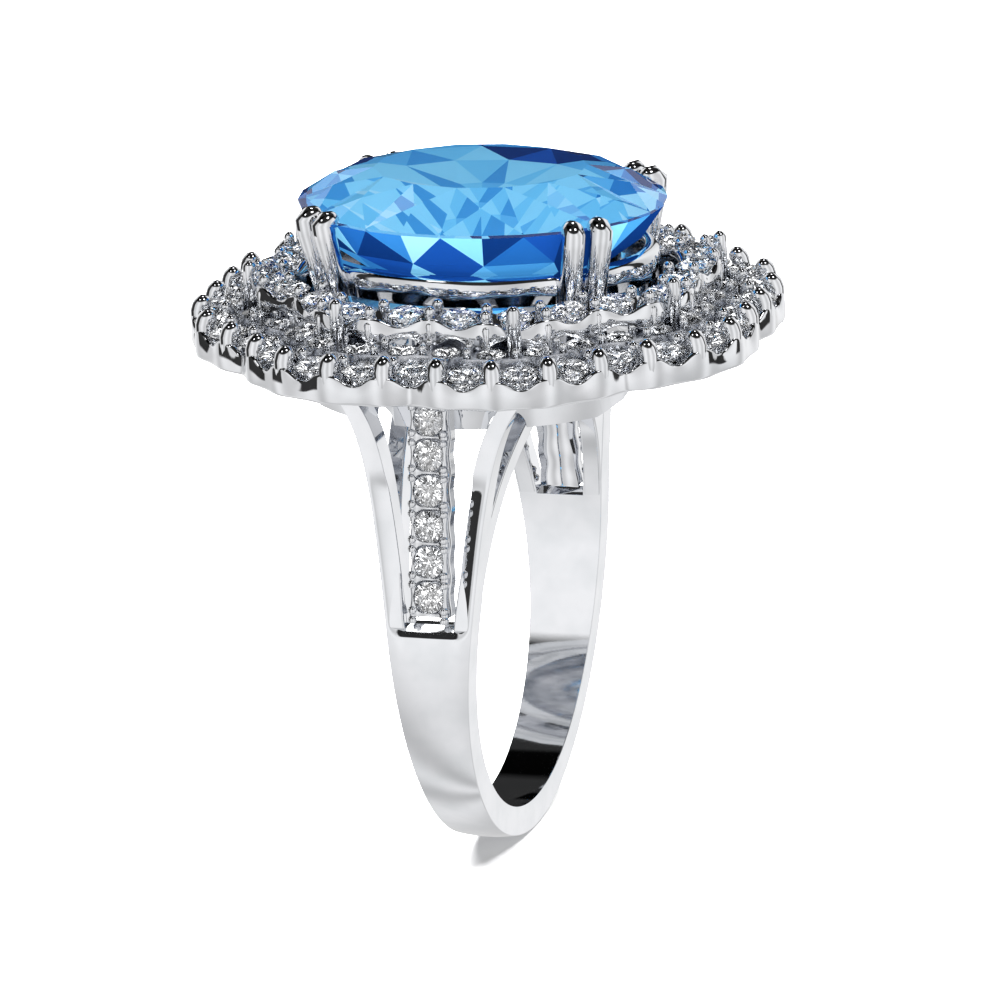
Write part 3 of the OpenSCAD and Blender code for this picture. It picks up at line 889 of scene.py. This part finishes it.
def mixWorld():
    # White tent with a dark opening overhead and dark gaps between its sides
    world = bpy.data.worlds.new("studio")
    world.use_nodes = True
    tree = world.node_tree
    tree.nodes.clear()
    direction = addNode(tree, "ShaderNodeTexCoord")
    parts = addNode(tree, "ShaderNodeSeparateXYZ", links={0: direction.outputs["Generated"]})
    height = addNode(tree, "ShaderNodeMapRange", {"From Min": -1.0, "From Max": 1.0},
                     {"Value": parts.outputs["Z"]})
    ramp = addNode(tree, "ShaderNodeValToRGB", links={"Fac": height.outputs["Result"]})
    stops = ramp.color_ramp.elements
    levels = [(0.0, studio["low"]), (0.18, studio["low"]), (0.42, studio["side"]), (0.8, studio["side"]),
              (0.84, studio["cap"]), (1.0, studio["cap"])]
    stops[0].position, stops[1].position = levels[0][0], levels[-1][0]
    for spot, level in levels[1:-1]:
        stops.new(spot)
    for stop, (spot, level) in zip(stops, levels):
        stop.position = spot
        stop.color = (level, level, level, 1)
    turn = addNode(tree, "ShaderNodeMath", {"operation": "ARCTAN2"},
                   {0: parts.outputs["Y"], 1: parts.outputs["X"]})
    share = addNode(tree, "ShaderNodeMapRange", {"From Min": -math.pi, "From Max": math.pi},
                    {"Value": turn.outputs["Value"]})
    gaps = addNode(tree, "ShaderNodeValToRGB", links={"Fac": share.outputs["Result"]})
    marks = [(0.0, 1.0), (1.0, 1.0)]
    for azimuth, half in studio["panels"]:
        wide = half + studio["panelEdge"]
        for edge, level in ((-wide, 1.0), (-half, studio["panelLevel"]), (half, studio["panelLevel"]),
                            (wide, 1.0)):
            marks.append(((azimuth + edge + 180) / 360, level))
    marks.sort()
    stops = gaps.color_ramp.elements
    for spot, level in marks[1:-1]:
        stops.new(spot)
    for stop, (spot, level) in zip(stops, marks):
        stop.position = spot
        stop.color = (level, level, level, 1)
    band = addNode(tree, "ShaderNodeMapRange",
                   {"From Min": studio["panelFoot"][0], "From Max": studio["panelFoot"][1]},
                   {"Value": parts.outputs["Z"]})
    mix = addNode(tree, "ShaderNodeMix", {"data_type": "RGBA", "blend_type": "MULTIPLY"})
    tree.links.new(band.outputs["Result"], mix.inputs[0])
    tree.links.new(ramp.outputs["Color"], mix.inputs[6])
    tree.links.new(gaps.outputs["Color"], mix.inputs[7])
    swing = addNode(tree, "ShaderNodeMath", {"operation": "MULTIPLY_ADD", 1: studio["folds"],
                                             2: studio["folds"] * math.radians(studio["foldTurn"])},
                    {0: turn.outputs["Value"]})
    ripple = addNode(tree, "ShaderNodeMath", {"operation": "COSINE"}, {0: swing.outputs["Value"]})
    fold = addNode(tree, "ShaderNodeMapRange", {"From Min": -1.0, "To Min": studio["foldLow"],
                                                "To Max": studio["foldHigh"]},
                   {"Value": ripple.outputs["Value"]})
    cloth = addNode(tree, "ShaderNodeMix", {"data_type": "RGBA", "blend_type": "MULTIPLY", 0: 1.0})
    tree.links.new(mix.outputs[2], cloth.inputs[6])
    tree.links.new(fold.outputs["Result"], cloth.inputs[7])
    lit = cloth.outputs[2]
    for azimuth, elevation, radius, level in studio["spots"]:
        a, e = math.radians(azimuth), math.radians(elevation)
        aim = (math.cos(a) * math.cos(e), math.sin(a) * math.cos(e), math.sin(e))
        close = addNode(tree, "ShaderNodeVectorMath", {"operation": "DOT_PRODUCT", 1: aim},
                        {0: direction.outputs["Generated"]})
        fringe, core = math.cos(math.radians(radius)), math.cos(math.radians(radius * 0.8))
        disc = addNode(tree, "ShaderNodeMapRange", {"From Min": fringe, "From Max": core, "To Max": level},
                       {"Value": close.outputs["Value"]})
        add = addNode(tree, "ShaderNodeMix", {"data_type": "RGBA", "blend_type": "ADD", 0: 1.0})
        tree.links.new(lit, add.inputs[6])
        tree.links.new(disc.outputs["Result"], add.inputs[7])
        lit = add.outputs[2]
    cells = addNode(tree, "ShaderNodeTexVoronoi", {"Scale": studio["sparkle"]},
                    {"Vector": direction.outputs["Generated"]})
    tone = addNode(tree, "ShaderNodeSeparateColor", links={0: cells.outputs["Color"]})
    busy = addNode(tree, "ShaderNodeValToRGB", links={"Fac": tone.outputs[0]})
    busy.color_ramp.interpolation = "CONSTANT"
    stops = busy.color_ramp.elements
    stops[0].color = (0.01, 0.01, 0.01, 1)
    stops[1].position, stops[1].color = 0.2, (0.16, 0.165, 0.17, 1)
    for spot, level in studio["flashes"]:
        stops.new(spot).color = (level, level, level, 1)
    sky = addNode(tree, "ShaderNodeMapRange",
                  {"From Min": 0.2, "From Max": 0.6,
                   "To Min": studio["stoneLow"], "To Max": studio["stoneHigh"]},
                  {"Value": parts.outputs["Z"]})
    shade = addNode(tree, "ShaderNodeMix", {"data_type": "RGBA", "blend_type": "MULTIPLY", 0: 1.0})
    tree.links.new(busy.outputs["Color"], shade.inputs[6])
    tree.links.new(sky.outputs["Result"], shade.inputs[7])
    ray = addNode(tree, "ShaderNodeLightPath")
    choose = addNode(tree, "ShaderNodeMix", {"data_type": "RGBA"})
    tree.links.new(ray.outputs["Is Transmission Ray"], choose.inputs[0])
    tree.links.new(lit, choose.inputs[6])
    tree.links.new(shade.outputs[2], choose.inputs[7])
    back = addNode(tree, "ShaderNodeBackground", {"Strength": 1.0}, {"Color": choose.outputs[2]})
    addNode(tree, "ShaderNodeOutputWorld", links={"Surface": back.outputs["Background"]})
    scene.world = world


def addLight(name, azimuth, elevation, distance, size, watts):
    a, e = math.radians(azimuth), math.radians(elevation)
    lamp = bpy.data.lights.new(name, "AREA")
    lamp.shape = "DISK"
    lamp.size = size
    lamp.energy = watts
    holder = bpy.data.objects.new(name, lamp)
    spot = Vector((math.cos(a) * math.cos(e), math.sin(a) * math.cos(e), math.sin(e)))
    holder.location = spot * distance
    holder.rotation_euler = spot.to_track_quat("Z", "Y").to_euler()
    holder.visible_glossy = False        # its mirror image in the metal is drawn by the tent's spots
    holder.visible_transmission = False
    scene.collection.objects.link(holder)


floorCard = {
    "half": 4.0,   # metres
    "waveMm": 40, "dark": "#f4f4f5", "light": "#f8f8f8",
}


def makeFloor():
    # Matte white card: paper fibres give it a soft, even white with no mirror image
    size = floorCard["half"]
    z = cadLow.z
    corners = [(-size, -size, z), (size, -size, z), (size, size, z), (-size, size, z)]
    mesh = bpy.data.meshes.new("floor")
    mesh.from_pydata(corners, [], [[0, 1, 2, 3]])
    floor = bpy.data.objects.new("floor", mesh)
    scene.collection.objects.link(floor)
    material, tree = startMaterial("paleCard")
    tint = noiseTints(tree, 1 / (floorCard["waveMm"] * mm), floorCard["dark"], floorCard["light"])
    shader = addNode(tree, "ShaderNodeBsdfPrincipled", {"Roughness": 0.9, "Specular IOR Level": 0.1},
                     {"Base Color": tint.outputs["Color"]})
    addNode(tree, "ShaderNodeOutputMaterial", links={"Surface": shader.outputs["BSDF"]})
    mesh.materials.append(material)
    floor.visible_glossy = False   # the tent, not the card, is what metal and stones show
    floor.visible_transmission = False


camera = {
    "azimuth": 17.86, "elevation": 17.31, "roll": -2.81, # degrees
    "distance": 439.6, "aimRight": -0.07, "aimUp": 3.99, # mm from the centre of the finger hole
    "lens": 369.2, "sensor": 36.0,
}


def addCamera():
    a, e, r = [math.radians(camera[k]) for k in ("azimuth", "elevation", "roll")]
    back = Vector((math.cos(a) * math.cos(e), math.sin(a) * math.cos(e), math.sin(e)))
    right = Vector((-math.sin(a), math.cos(a), 0))
    up = back.cross(right)
    across = right * math.cos(r) + up * math.sin(r)
    upward = up * math.cos(r) - right * math.sin(r)
    data = bpy.data.cameras.new("camera")
    data.lens = camera["lens"]
    data.sensor_width = camera["sensor"]
    data.clip_start = 0.01
    holder = bpy.data.objects.new("camera", data)
    turn = Matrix((across, upward, back)).transposed().to_4x4()
    place = (back * camera["distance"] + across * camera["aimRight"] + upward * camera["aimUp"]) * mm
    holder.matrix_world = Matrix.Translation(place) @ turn
    scene.collection.objects.link(holder)
    scene.camera = holder


mixWorld()
addLight("softbox", azimuth=225, elevation=84, distance=1.2, size=2.0, watts=130.0)
makeFloor()
addCamera()
scene.view_settings.view_transform = "Standard"
scene.cycles.max_bounces = 16
scene.cycles.glossy_bounces = 10      # light bounces many times inside a cut stone
print("studio set")
